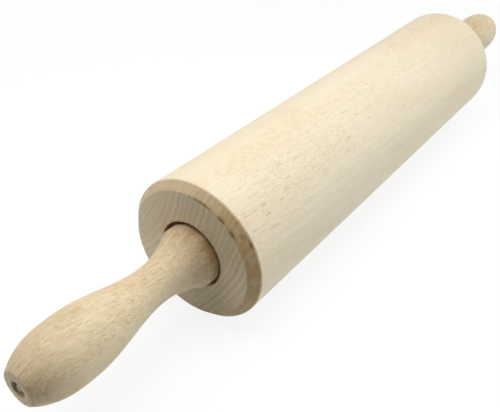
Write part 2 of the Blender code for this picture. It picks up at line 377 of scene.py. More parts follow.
# Waves round and along a turned piece: a sum of cosines of whole turns of the angle plus a share
# of x, each with its own seeded start, over the square root of their number
def slowWaves(x, angle, count, longest, seed):
    draw = np.random.default_rng(seed)
    turns = draw.integers(1, 7, count)
    along = draw.uniform(-1, 1, count) * fullTurn / longest
    start = draw.uniform(0, fullTurn, count)
    total = np.cos(turns * angle[..., None] + along * x[..., None] + start).sum(-1)
    return total / math.sqrt(count)


# Faces of a grid whose columns close round the axis: corner (i, j) joins (i, j + 1),
# (i + 1, j + 1) and (i + 1, j). The rows close too, or else end in a fan round a pole.
def gridMesh(name, grid, poles=()):
    rows, columns = grid.shape[:2]
    i = np.arange(rows - 1 if poles else rows)[:, None]
    j = np.arange(columns)[None, :]
    below = (i + 1) % rows * columns
    beside = (j + 1) % columns
    quads = np.stack([i * columns + j, i * columns + beside, below + beside, below + j], axis=-1)
    faces = quads.reshape(-1, 4).tolist()
    points = grid.reshape(-1, 3)
    if poles:
        around, ahead = j[0], beside[0]
        first = np.full(columns, len(points))
        last = (rows - 1) * columns
        faces += np.stack([first, ahead, around], axis=1).tolist()
        faces += np.stack([first + 1, last + around, last + ahead], axis=1).tolist()
        points = np.concatenate([points, np.asarray(poles, float)])
    mesh = bpy.data.meshes.new(name)
    mesh.from_pydata(points * mm, [], faces)
    mesh.polygons.foreach_set("use_smooth", np.ones(len(faces), bool))
    return mesh


# The left pieces are the right ones turned half round about Z, so that outsides stay outsides
def sided(grid, side):
    return grid if side > 0 else grid * (-1, -1, 1)


def addPiece(name, mesh, material, body, node):
    mesh.materials.append(material)
    piece = addObject(name, mesh)
    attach(piece, body)
    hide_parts(node)


def addSided(name, grid, side, material, body, node):
    addPiece(name, gridMesh(name, sided(grid, side)), material, body, node)


def writeNumbers(mesh, name, values):
    layer = mesh.attributes.new(name, "FLOAT", "POINT")
    layer.data.foreach_set("value", np.ascontiguousarray(values, np.float32).ravel())


# A wooden mesh; endGrain is the size of the share along X of the surface's outward direction
# the worked numbers also hold painted shade, and so do the torn ones
def woodMesh(name, grid, worked, tornAndShade):
    mesh = gridMesh(name, grid)
    across = np.zeros(3 * len(mesh.vertices), np.float32)
    mesh.vertex_normals.foreach_get("vector", across)
    writeNumbers(mesh, "endGrain", np.abs(across[::3]))
    writeNumbers(mesh, "worked", np.clip(worked, 0, 1))
    writeNumbers(mesh, "tornAndShade", np.clip(tornAndShade, 0, 1))
    return mesh


# Beech: a solid pattern, so that each turned surface cuts through the same rings and rays.
# pith: where the tree's middle runs, across the grain, at x = 0; slope: how far the fibres drift
# towards -Y and -Z for each step along X; ringWidth: one year's growth; flecks: their size along
# the grain, outwards and across, the share of cells that hold one and how dark it is; flecked,
# unflecked: which sides show them, from -1 towards the pith to 1 away from it; fewer: they thin
# out between these places along X; endFacing: how squarely a surface that looks like end grain
# cuts the grain; the darkening off the pith: distances from the pith along Y between which end
# grain turns darker; far: places along X between which the tone along X sets in, painted shade
# towards the barrel's far end and painted light on the near handle from its neck to the collar;
# fading: how strongly grain darkens red, green and blue; relief: the grain's depth, in metres
barrelBeech = {
    "pith": (77.0, 36.4),
    "slope": (0.012, 0.085),
    "ringWidth": 2.6,
    "pale": paint(244, 229, 202),
    "warm": paint(237, 216, 180),
    "lateWood": tint(0.95, 0.93, 0.89),
    "endGrain": tint(1.09, 1.08, 1.04),
    "endFacing": (0.45, 0.98),
    "endLine": tint(0.78, 0.75, 0.70),
    "bandTone": tint(0.88, 0.86, 0.83),
    "offPithTone": tint(0.73, 0.71, 0.68),
    "offPith": (50.0, 85.0),
    # the worked colour also paints shade: on the chamfer, at the recess's mouth and on the handles'
    # collars and tips
    "worked": tint(0.67, 0.53, 0.34),
    # painted shade: the barrel's wood darkens towards its far end along X
    "far": (30.0, 150.0),
    "paintedLightAlongX": tint(0.955, 0.935, 0.915),
    # the torn colour also paints the shade inside the barrel's recess and the handles' counterbores
    "tornAndShade": tint(0.40, 0.22, 0.12),
    "ringShare": 0.8,
    "warmShare": 0.45,
    "fleck": tint(0.62, 0.50, 0.38),
    "smallFlecks": {"size": (3.8, 0.32, 2.6), "held": 0.90, "share": 0.50},
    "largeFlecks": {"size": (5.6, 0.40, 3.4), "held": 0.13, "share": 1.0},
    "flecked": (0.08, 0.26),
    "unflecked": (0.88, 0.66),
    "fewer": (-125.0, 110.0),
    "grainWander": 1.6,
    "wavy": 0.8,
    "streaks": 0.15,
    "figure": 0.065,
    "bands": 0.06,
    "fading": (0.6, 1.0, 1.8),
    "specular": 0.35,
    "roughness": (0.52, 0.68),
    "relief": 0.00006,
    "shift": (0.0, 0.0, 0.0),
}

# Cloudy fields: how often each changes in a millimetre, along the grain and across it, how many
# finer layers it has, and where its step starts and ends
woodFields = {
    "bend": ((0.012, 0.04, 0.04), 1.0),
    "ragged": ((0.03, 0.5, 0.5), 3.0),
    "years": ((0.004, 0.05, 0.05), 2.0),
    "streaks": ((0.10, 0.9, 0.9), 4.0),
    "fine": ((0.5, 2.6, 2.6), 3.0),
    "curls": ((0.15, 0.11, 0.25), 2.0),
    "broken": ((0.07, 0.4, 0.4), 3.0, 0.42, 0.66),
    "bands": ((0.62, 1.0, 1.0), 2.0, 0.32, 0.68),
    "patches": ((0.010, 0.055, 0.055), 3.0, 0.36, 0.70),
    "crowding": ((0.02, 0.09, 0.09), 2.0, 0.34, 0.62),
    "mottle": ((1.3, 1.3, 1.3), 4.0, 0.30, 0.62),
}


# Flecks: Voronoi cells in a space where each is one unit long, outwards and across. A share of
# the cells, drawn by their own colour, hold a dark fleck round their middle.
def flecks(tree, cellPlace, look, crowding):
    size = look["size"]
    place = vectorCalc(tree, "MULTIPLY", cellPlace, tuple(1 / side for side in size))
    cells = addNode(tree, "TexVoronoi", {"Vector": place, "Scale": 1.0}).outputs
    drawn = addNode(tree, "SeparateColor", {0: cells["Color"]}).outputs
    chosen = calc(tree, "LESS_THAN", drawn["Red"], times(tree, crowding, look["held"]))
    body = smoothStep(tree, cells["Distance"], 0.48, 0.20)
    return times(tree, body, chosen, timesPlus(tree, drawn["Green"], 0.7, 0.3))


def beech(name, look):
    material, tree, shader = startMaterial(name)

    def field(kind, where):
        scale, detail, *ends = woodFields[kind]
        noise = noiseValue(tree, where, scale, detail)
        return smoothStep(tree, noise, *ends) if ends else noise

    ownX, ownY, ownZ = axesOf(tree, millimetres(tree))
    placeY = timesPlus(tree, ownX, look["slope"][0], ownY)
    placeZ = timesPlus(tree, ownX, look["slope"][1], ownZ)
    place = vectorCalc(tree, "ADD", joined(tree, ownX, placeY, placeZ), look["shift"])
    wander = (0.0, look["grainWander"], look["grainWander"])
    bent = noiseValue(tree, place, *woodFields["bend"], "Color")
    place = vectorCalc(tree, "MULTIPLY_ADD", bent, wander, place)
    along, y, z = axesOf(tree, place)
    sideways = calc(tree, "SUBTRACT", y, look["pith"][0])
    upwards = calc(tree, "SUBTRACT", z, look["pith"][1])
    outwards = hypotenuse(tree, sideways, upwards)
    across = times(tree, calc(tree, "ARCTAN2", upwards, sideways), math.hypot(*look["pith"]))
    ragged = field("ragged", place)
    cellPlace = joined(tree, along, timesPlus(tree, ragged, look["wavy"], outwards), across)

    # bark is 0 where the surface cuts straight across the rings, 1 where it lies along them on
    # the side away from the pith and -1 on the side towards it
    facing = timesPlus(tree, ownZ, upwards, times(tree, ownY, sideways))
    radius = hypotenuse(tree, ownY, ownZ)
    bark = calc(tree, "DIVIDE", facing, times(tree, radius, outwards))
    flat = calc(tree, "ABSOLUTE", bark)

    # growth rings: pale early wood that darkens to a fine line, and each year a little different
    years = calc(tree, "DIVIDE", outwards, look["ringWidth"])
    years = timesPlus(tree, field("years", place), 1.4, years)
    years = timesPlus(tree, ragged, 0.55, years)
    part = calc(tree, "FRACT", years)
    year = {"W": calc(tree, "FLOOR", years)}
    ownTone = addNode(tree, "TexWhiteNoise", year, noise_dimensions="1D").outputs["Value"]
    ending = smoothStep(tree, part, 1.0, 0.965)
    strength = times(tree, smoothStep(tree, part, 0.45, 0.96), ending)
    strength = times(tree, strength, timesPlus(tree, ownTone, 0.7, 0.3))
    sideLine = times(tree, strength, field("broken", cellPlace), look["ringShare"])
    # end grain turns darker further from the pith along Y
    offPith = smoothStep(tree, calc(tree, "ABSOLUTE", sideways), *look["offPith"])
    ownTone, offPithLines = timesPlus(tree, ownTone, 0.5, 0.5), timesPlus(tree, offPith, 0.55, 0.55)
    endLine = times(tree, smoothStep(tree, part, 0.80, 0.93), ending, ownTone, offPithLines)
    grown = joined(tree, timesPlus(tree, ragged, 1.2, outwards), 0.0, 0.0)
    bands = field("bands", grown)

    # slow patches of warmer wood, then streaks along the grain
    patches = field("patches", place)
    fine = field("fine", place)
    grain = timesPlus(tree, fine, 0.7, times(tree, field("streaks", place), 0.6))
    lighten = timesPlus(tree, grain, 2 * look["streaks"], 1 - 1.3 * look["streaks"])
    lighten = calc(tree, "ADD", lighten, times(tree, flat, bands, -look["bands"]))

    # ray figure where the surface cuts across the rings, here and there: thin curls where a
    # cloudy field crosses its middle
    crossing = calc(tree, "ABSOLUTE", calc(tree, "SUBTRACT", field("curls", cellPlace), 0.5))
    curls = smoothStep(tree, crossing, 0.075, 0.01)
    onRays = smoothStep(tree, flat, 0.34, 0.08)
    figure = times(tree, curls, onRays, smoothStep(tree, patches, 0.15, 0.6))
    lighten = timesPlus(tree, figure, -look["figure"], lighten)

    # flecks, crowded here and there and on some sides only
    crowding = field("crowding", place)
    thinning = smoothStep(tree, ownX, look["fewer"][1], look["fewer"][0])
    crowding = times(tree, timesPlus(tree, crowding, 0.8, 0.35), thinning)
    away = smoothStep(tree, bark, *look["unflecked"])
    shown = times(tree, smoothStep(tree, bark, *look["flecked"]), away)
    marks = 0.0
    for kind in (look["smallFlecks"], look["largeFlecks"]):
        drawn = times(tree, flecks(tree, cellPlace, kind, crowding), kind["share"], shown)
        marks = calc(tree, "MAXIMUM", marks, drawn)

    shares = [calc(tree, "POWER", lighten, power) for power in look["fading"]]
    grained = addNode(tree, "CombineColor", enumerate(shares)).outputs[0]
    ends = smoothStep(tree, ownNumber(tree, "endGrain"), *look["endFacing"])
    mottled = timesPlus(tree, field("mottle", place), 0.3, 0.8)
    worked = times(tree, ownNumber(tree, "worked"), mottled)
    # the worked and torn tones carry painted shade as well as worked and torn wood
    tones = [
        (sideLine, look["lateWood"]),
        (marks, look["fleck"]),
        (1.0, grained),
        # painted light and shade along X: darker towards the barrel's far end, paler on the near
        # handle from its neck to the collar
        (smoothStep(tree, ownX, *look["far"]), look["paintedLightAlongX"]),
        (ends, look["endGrain"]),
        (times(tree, ends, endLine), look["endLine"]),
        (times(tree, ends, bands), look["bandTone"]),
        (times(tree, ends, offPith), look["offPithTone"]),
        (worked, look["worked"]),
        (ownNumber(tree, "tornAndShade"), look["tornAndShade"]),
    ]
    warmth = times(tree, patches, look["warmShare"])
    colour = mixColour(tree, warmth, look["pale"], look["warm"])
    for share, tone in tones:
        colour = mixColour(tree, share, colour, tone, "MULTIPLY")

    shader.inputs["Specular IOR Level"].default_value = look["specular"]
    height = timesPlus(tree, marks, -0.8, fine)
    finishSurface(tree, shader, look, colour, grain, (0.4, 0.9), height, 0.6)
    return material


# Barrel: outside with a chamfer at each end, a recess for the handle's collar, the bearing seat
# and the bore. chamferLean and recessShift: how far, and towards which angle; brownest: the left
# and the right chamfer's brownest angle, partly painted shade; tones: a mean, a swing and the angle
# of the most, of painted shade at the recess's mouth and in the recess; the torn places: an angle,
# x, radius, width round and across, and depth for each place
barrelShape = {
    "length": 274.0,
    "chamfer": 3.9,
    "recessRadius": 16.15,
    "recessFloor": 132.0,
    "mouthBevel": 0.4,
    "chamferLean": (0.4, 190),
    "recessShift": (0.12, 65),
    "seatRadius": 11.2,
    "seatFloor": 124.6,
    "boreRadius": 7.05,
    "columns": 360,
    "waviness": 0.025,
    "brownest": (195, -20),
    "mouthShade": (0.08, 0.36, 75),
    "recessShadeTone": (0.60, 0.35, 70),
    "tornAndShade": [
        (104, -137.0, 31.1, 5.0, 0.40, 0.20),
        (124, -137.0, 31.0, 1.7, 0.75, 0.45),
        (138, -137.0, 31.0, 1.8, 0.75, 0.45),
        (143, -135.1, 33.5, 1.3, 0.60, 0.25),
        (151, -133.9, 34.5, 1.5, 0.55, 0.25),
        (268, -137.0, 31.1, 8.0, 0.35, 0.20),
        (20, 137.0, 31.0, 1.6, 0.45, 0.35),
        (215, 137.0, 31.1, 2.4, 0.40, 0.30),
        (310, 137.0, 31.0, 1.0, 0.50, 0.35),
    ],
}


def barrelOutline(shape, radius):
    half = shape["length"] / 2
    chamfer, bevel, bore = pick(shape, "chamfer", "mouthBevel", "boreRadius")
    recess, floor = pick(shape, "recessRadius", "recessFloor")
    seat, seatFloor = pick(shape, "seatRadius", "seatFloor")
    end = [(half - chamfer, radius), (half, radius - chamfer)]
    end += [(half, recess + bevel), (half - bevel, recess), (floor, recess), (floor, seat)]
    end += [(seatFloor, seat), (seatFloor, bore)]
    edges = [1.3, 0.45, 0.25, 0.25, 0.2, 0.15, 0.1, 0.2]
    sides = [9, 20, 2, 7, 6, 5, 3]
    corners = end + [(-x, r) for x, r in reversed(end)]
    return roundedPath(corners, edges + edges[::-1], sides + [20] + sides[::-1] + [64])


def makeBarrel(shape, material):
    low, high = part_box("barrel")
    radius = (high - low).z / 2 / mm
    outline = barrelOutline(shape, radius)
    normals = turnedGrid(outlineNormals(outline), shape["columns"])
    x, r, a = gridPlaces(outline, shape["columns"])
    half = shape["length"] / 2
    wide, recess, seat = pick(shape, "chamfer", "recessRadius", "seatRadius")
    past = np.abs(x) - half
    above = r - radius

    # torn grain: a dip for each place, as deep as the bell of its distance round and across
    marks, places, radii, rounds, widths, depths = np.array(shape["tornAndShade"], float).T
    around = (angleGap(a, marks) * r[..., None] / rounds) ** 2
    off = ((x[..., None] - places) ** 2 + (r[..., None] - radii) ** 2) / widths**2
    bells = np.exp(-around - off)
    outside = r > recess + shape["mouthBevel"] + 0.5
    waves = slowWaves(x, a, count=14, longest=90.0, seed=3)
    sanding = shape["waviness"] * (1 + np.tanh(waves)) * outside
    depth = (bells * depths).sum(-1) + sanding
    grid = turned(x, r, a) - normals * depth[..., None]

    # the chamfer is a little wider on one side: its outer edge moves in along X and its inner
    # edge in along the radius, by the lean times the cosine of the angle, fading over each face
    more = 0.05 * slowWaves(x, 2 * a, count=9, longest=500.0, seed=5)
    more = roundTone(a, 0, *shape["chamferLean"]) + more
    alongX = ramp(above + wide, wide) * ramp(past + 4 * wide, 3 * wide)
    alongR = ramp(past + wide, wide) * ramp(r - recess - 1, 12)
    grid[..., 0] -= np.sign(x) * more * alongX * outside
    grid[..., 1:] *= (1 - more * alongR * outside / r)[..., None]

    # the recess stands a little off the middle; the shift fades over the face and its floor
    off, way = shape["recessShift"]
    share = ramp(recess + 12 - r, 11) * ramp(r - seat, 4)
    share = share * (np.abs(x) > shape["recessFloor"] - 0.1) * off
    grid[..., 1] += share * math.cos(math.radians(way))
    grid[..., 2] += share * math.sin(math.radians(way))

    # worked tone and painted shade: the chamfer's brown, browner towards one side partly as painted
    # shade, darker at its two edges as painted shade of a rounded edge, streaked round it; painted
    # shade at the recess's mouth
    chamfered = ramp(past + wide + 0.8, 1.5) * ramp(above + wide + 0.25, 0.4)
    fromBrownest = a - np.where(x < 0, *np.radians(shape["brownest"]))
    # browner towards one side: partly the chamfer's own brown, partly painted shade on the side
    # away from the light
    browner = 0.45 + 0.55 * ramp(np.cos(fromBrownest) + 0.17, 0.9)
    # darker at both edges of the chamfer: painted shade of a rounded edge
    roundedEdgeShade = 0.90 + 0.34 * (2 * ramp(-past, wide) - 1) ** 2
    patchy = roundedEdgeShade + 0.12 * slowWaves(x, 3 * a, count=10, longest=60.0, seed=8)
    patchy = patchy + 0.10 * slowWaves(5 * x, 14 * a, count=12, longest=60.0, seed=28)
    # painted shade at the recess's mouth, darkest towards one side
    mouth = np.exp(-(((r - recess - 0.7) / 0.35) ** 2)) * (past > -1)
    mouth = mouth * ramp(roundTone(a, *shape["mouthShade"]))
    worked = chamfered * browner * patchy + mouth
    # torn tone and painted shade: torn grain in the dips, and painted shade inside the recess
    # painted shade inside the recess, darkest towards one side
    paintedRecessShade = (r < recess + 0.25) & (r > seat)
    paintedRecessShade = paintedRecessShade * roundTone(a, *shape["recessShadeTone"])
    mesh = woodMesh("barrelTurned", grid, worked, bells.sum(-1) * 1.1 + paintedRecessShade)
    addPiece("barrel_turned", mesh, material, "barrel", "barrel")


makeBarrel(barrelShape, beech("barrelBeech", barrelBeech))
print("barrel is made")

# Handles: collar at the barrel, cove, neck, belly and rounded tip, with the journal's bore, the
# web that the nut clamps and the counterbore. Places are distances from the barrel's face. Tones
# of painted shade, on the collar with dirt too: a mean, a swing and the angle of the most; the
# tip's has no mean.
handleShape = {
    "face": 137.0,
    "reach": 91.0,
    "collarRadius": 14.7,
    "collarBack": -2.1,
    "collarEdge": 0.8,
    "collarPlace": 2.8,
    "collarRound": 2.0,
    "neckRadius": 8.7,
    "neckPlace": 25.0,
    "bellyRadius": 14.15,
    "bellyPlace": 66.0,
    "tipRadius": 7.5,
    "tipFullness": 2.9,
    "tipRound": 1.4,
    "counterbore": 3.5,
    "mouthBevel": 0.1,
    "boreRadius": 4.0,
    "webBore": 2.2,
    "webFace": 218.8,
    "webBack": 210.8,
    "columns": 256,
    "waviness": 0.03,
    "collarShadeAndDirt": (0.40, 0.52, 135),
    "tipShade": (0.60, 160),
    "holeShade": (0.22, 0.16, 70),
}


# Outside radius by place: level up to the collar's place and round from there, then a cove's
# circle that touches the round and is level at the neck, half a cosine wave up to the belly, and
# a power curve down to the tip
def handleRadius(shape, place):
    radius, start, collar = pick(shape, "collarRound", "collarPlace", "collarRadius")
    neck, neckR, belly, bellyR = pick(shape, "neckPlace", "neckRadius", "bellyPlace", "bellyRadius")
    middle = collar - radius
    run = neck - start
    rise = neckR - middle
    cove = (run**2 + rise**2 - radius**2) / (2 * (radius - rise))
    touch = start + radius * run / (cove + radius)
    rounded = middle + np.sqrt(np.maximum(radius**2 - (place - start) ** 2, 0))
    hollow = np.sqrt(np.maximum(cove**2 - (neck - place) ** 2, 0))
    wave = (1 - np.cos(np.pi * (place - neck) / (belly - neck))) / 2
    swell = neckR + (bellyR - neckR) * wave
    share = np.maximum(place - belly, 0) / (shape["reach"] - belly)
    drop = (bellyR - shape["tipRadius"]) * share ** shape["tipFullness"]
    places = [place < limit for limit in (start, touch, neck, belly)]
    return np.select(places, [collar, rounded, neckR + cove - hollow, swell], bellyR - drop)


def handleOutline(shape):
    edge, rim, reach, face = pick(shape, "collarEdge", "tipRound", "reach", "face")
    middle = shape["collarRadius"] - edge
    start = shape["collarBack"] + edge
    turn = np.linspace(np.pi, np.pi / 2, 9)[:-1]
    edgeX = start + edge * np.cos(turn)
    edgeR = middle + edge * np.sin(turn)
    # the tip's round touches the leaning side and the flat ring
    fall = (shape["bellyRadius"] - shape["tipRadius"]) / (reach - shape["bellyPlace"])
    lean = math.atan(shape["tipFullness"] * fall)
    end = reach - rim * (1 - math.sin(lean))
    places = np.linspace(start, end, 195)
    last = handleRadius(shape, end) - rim * math.cos(lean)
    turn = np.linspace(np.pi / 2 - lean, 0, 9)[1:]
    tipX = reach - rim * (1 - np.cos(turn))
    tipR = last + rim * np.sin(turn)
    outsideX = np.concatenate([edgeX, places, tipX]) + face
    outsideR = np.concatenate([edgeR, handleRadius(shape, places), tipR])
    tip = face + reach
    bevel, hole, bore, web = pick(shape, "mouthBevel", "counterbore", "boreRadius", "webBore")
    front, back = pick(shape, "webFace", "webBack")
    inside = [(tip, last), (tip, hole + bevel), (tip - bevel, hole), (front, hole), (front, web)]
    inside += [(back, web), (back, bore), (outsideX[0], bore), (outsideX[0], middle)]
    edges = [0.1, 0.06, 0.06, 0.1, 0.1, 0.1, 0.1, 0.4, 0.1]
    inner = roundedPath(inside, edges, [6, 1, 10, 4, 6, 3, 12, 10, 0], closed=False)
    return np.concatenate([np.stack([outsideX, outsideR], axis=1), inner[1:-1]])


def makeHandle(node, side, shape, stains, material):
    outline = handleOutline(shape)
    normals = turnedGrid(outlineNormals(outline), shape["columns"])
    x, r, a = gridPlaces(outline, shape["columns"])
    place = x - shape["face"]
    fadeIn = ramp(place - 4, 6) * ramp(shape["reach"] - 3 - place, 6)
    isOutside = r > handleRadius(shape, place) - 0.2
    waves = slowWaves(x, a, count=12, longest=40.0, seed=11 + side)
    sanding = shape["waviness"] * waves * (fadeIn * isOutside)
    grid = sided(turned(x, r, a) + normals * sanding[..., None], side)
    # worked tone and painted shade: painted shade and dirt on the collar by the barrel, darker on
    # one side;
    # painted shade on one side of the tip; and the inside of the counterbore, evenly browner
    turn = np.pi - a if side < 0 else a
    # painted shade by the barrel on the collar, with dirt there too
    shadeAndDirtByBarrel = ramp(15 - place, 13) ** 1.3 * ramp(roundTone(turn, *shape["collarShadeAndDirt"]))
    # painted shade on the tip's darker side
    brown, way = shape["tipShade"]
    tipShadeShare = ramp(place - 72, 18) * (r > 5) * brown * ramp(roundTone(turn, 0, 1, way)) ** 3
    inHole = (r < shape["counterbore"] + 0.1) & (place > 60)
    patchy = 0.92 + 0.12 * slowWaves(x, 4 * a, count=12, longest=12.0, seed=21 + side)
    # each stain is a bell of the distance from its middle
    marks, places, rounds, lengths, browns = np.array(stains, float).T
    around = (angleGap(turn, marks) * r[..., None] / rounds) ** 2
    along = ((place[..., None] - places) / lengths) ** 2
    stained = (np.exp(-around - along) * browns).sum(-1) * isOutside
    worked = np.maximum(shadeAndDirtByBarrel, tipShadeShare) * patchy + 0.1 * inHole + stained
    name = f"{node}_turned"
    # painted shade inside the counterbore, darkest towards one side
    mesh = woodMesh(name, grid, worked, inHole * roundTone(turn, *shape["holeShade"]))
    addPiece(name, mesh, material, "axle", node)


handleBeech = {
    **barrelBeech,
    "pith": (-100.0, 3.0),
    "slope": (0.08, 0.0),
    "pale": paint(232, 213, 179),
    "warm": paint(220, 196, 153),
    "lateWood": tint(0.90, 0.86, 0.80),
    "endGrain": tint(1.08, 1.085, 1.12),
    "endFacing": (0.12, 0.75),
    "offPithTone": tint(1, 1, 1),
    # painted light: the near handle's wood is made paler from its neck to the collar
    "far": (-188.0, -158.0),
    "paintedLightAlongX": tint(1.11, 1.125, 1.165),
    "bandTone": tint(0.9, 0.88, 0.84),
    "worked": tint(0.53, 0.43, 0.31),
    "fleck": tint(0.62, 0.45, 0.29),
    "smallFlecks": {"size": (4.2, 0.22, 2.4), "held": 1.1, "share": 0.72},
    "largeFlecks": {"size": (5.8, 0.28, 3.2), "held": 0.10, "share": 0.8},
    "flecked": (-1.0, -0.92),
    "unflecked": (3.0, 2.0),
    "fewer": (1000.0, 2000.0),
    "streaks": 0.28,
    "shift": (400.0, 0.0, 0.0),
}
farHandleBeech = {
    **handleBeech,
    "pith": (60.0, -55.0),
    "paintedLightAlongX": tint(1, 1, 1),
    "shift": (-260.0, 35.0, 0.0),
}

# Stains: an angle, a place, the widths round and along, and how brown the middle is
leftStains = [(89, 62.4, 2.2, 2.6, 0.28), (118, 32.0, 1.6, 2.2, 0.22), (109, 21.5, 0.7, 0.7, 0.35)]
rightStains = [(150, 48.0, 2.0, 3.0, 0.20)]
nearWood = beech("handleBeech", handleBeech)
farWood = beech("farHandleBeech", farHandleBeech)
makeHandle("handle_left", -1, handleShape, leftStains, nearWood)
makeHandle("handle_right", 1, handleShape, rightStains, farWood)
print("handles are made")


# Steel: bright and dull blotches, and marks that run round the axis, as a lathe or grinder leaves
# them, since they are narrow in x and radius; roughness follows both
def steel(name, look):
    material, tree, shader = startMaterial(name)
    place = millimetres(tree)
    x, y, z = axesOf(tree, place)
    flat = joined(tree, x, hypotenuse(tree, y, z), 0.0)
    marks = noiseValue(tree, flat, look["marks"], 3.0)
    blotches = noiseValue(tree, place, look["blotches"], 3.0)
    colour = mixColour(tree, smoothStep(tree, blotches, 0.35, 0.7), look["bright"], look["dull"])
    if "sawn" in look:
        colour = mixColour(tree, ownNumber(tree, "sawn"), colour, look["sawn"])
    shader.inputs["Metallic"].default_value = 1.0
    both = timesPlus(tree, marks, 0.6, times(tree, blotches, 0.4))
    finishSurface(tree, shader, look, colour, both, (0.3, 0.7), marks, 0.5)
    return material


axleSteel = {
    "bright": tint(0.44, 0.41, 0.34),
    "dull": tint(0.34, 0.31, 0.26),
    "sawn": tint(0.15, 0.13, 0.09),
    "marks": (9.0, 9.0, 1.0),
    "blotches": (0.5, 0.7, 0.7),
    "roughness": (0.24, 0.46),
    "relief": 0.000008,
}
groundSteel = {
    "bright": tint(0.72, 0.72, 0.73),
    "dull": tint(0.64, 0.64, 0.66),
    "marks": (24.0, 24.0, 1.0),
    "blotches": (0.8, 0.8, 0.8),
    "roughness": (0.10, 0.24),
    "relief": 0.000003,
}
platedSteel = {
    "bright": tint(0.66, 0.67, 0.69),
    "dull": tint(0.52, 0.53, 0.56),
    "marks": (12.0, 12.0, 1.0),
    "blotches": (1.6, 1.6, 1.6),
    "roughness": (0.28, 0.50),
    "relief": 0.000005,
}

# Axle: a thick middle, a journal through each bearing and handle, and a threaded end with a
# rounded lead. The thread rises from its root by a share of its depth that runs up and down
# once in each pitch, and fades out at both its ends.
axleShape = {
    "shoulder": 124.6,
    "thickRadius": 5.0,
    "journalRadius": 3.8,
    "journalEnd": 210.3,
    "threadRadius": 2.0,
    "threadDepth": 0.40,
    "threadPitch": 0.7,
    "threadStart": 212.0,
    "end": 227.6,
    "endBevel": 0.7,
    "columns": 96,
}


# Thread height: how near the turn's part is to its middle, flat for an eighth at crest and root
def threadWave(shape, x, angle):
    part = (x / shape["threadPitch"] - angle / fullTurn) % 1.0
    return np.clip((1 - np.abs(2 * part - 1)) * 1.33 - 0.16, 0, 1)


def makeAxle(shape, material):
    thick, journal, thread = pick(shape, "thickRadius", "journalRadius", "threadRadius")
    shoulder, journalEnd, tip, bevel = pick(shape, "shoulder", "journalEnd", "end", "endBevel")
    end = [(shoulder, thick), (shoulder, journal), (journalEnd, journal), (journalEnd, thread)]
    end += [(tip - bevel, thread), (tip, thread - bevel), (tip, 0.05)]
    corners = [(-x, r) for x, r in reversed(end)] + end
    edges = [0.0, 0.12, 0.12, 0.15, 0.25, 0.12, 0.3]
    sides = [5, 1, 230, 3, 16, 2]
    radii = np.maximum(edges + edges[::-1], 0.02)
    cuts = sides + [40] + sides[::-1] + [0]
    outline = roundedPath(corners, radii, cuts, closed=False)
    x, r, a = gridPlaces(outline, shape["columns"])
    reach = np.abs(x)
    fade = ramp(reach - shape["threadStart"], 1.2)
    lead = ramp(r - 1.0, 0.6)
    turn = np.where(x < 0, np.pi - a, a)
    cutDepth = shape["threadDepth"] * (1 - threadWave(shape, reach, turn)) * fade * lead
    grid = turned(x, np.maximum(r - cutDepth, 0.02), a)
    mesh = gridMesh("axleTurned", grid, [(-tip, 0, 0), (tip, 0, 0)])
    writeNumbers(mesh, "sawn", np.append(reach > tip - 0.05, [True, True]))
    addPiece("axle_turned", mesh, material, "axle", "axle")


makeAxle(axleShape, steel("axleSteel", axleSteel))
print("axle is made")


# Plain rings: the spacer between bearing and handle, and the washer under the nut
spacerShape = {"inside": 4.0, "outside": 5.8, "start": 132.0, "end": 134.7, "edge": 0.2}
washerShape = {"inside": 2.2, "outside": 3.2, "start": 219.0, "end": 219.5, "edge": 0.12}


# A ring turned between two radii and two places, its four edges rounded
def ringGrid(shape, columns=96):
    inside, outside, start, end = pick(shape, "inside", "outside", "start", "end")
    corners = [(start, outside), (end, outside), (end, inside), (start, inside)]
    return turnedGrid(roundedPath(corners, [shape["edge"]] * 4, (3, 5, 3, 5)), columns)


# Nut: rows go out over the face, down the rim, in over the back and up the threaded hole. The
# columns beside the slot stand at asin(half its width / radius), so its walls are true planes.
nutShape = {
    "back": 219.7,
    "height": 3.5,
    "radius": 3.2,
    "hole": 2.05,
    "slotWidth": 1.4,
    "slotDepth": 1.8,
    "bevel": 0.4,
    "backHole": 2.2,
    "threadShare": 0.9,
    "floorCuts": 7,
    "faceCuts": 34,
}


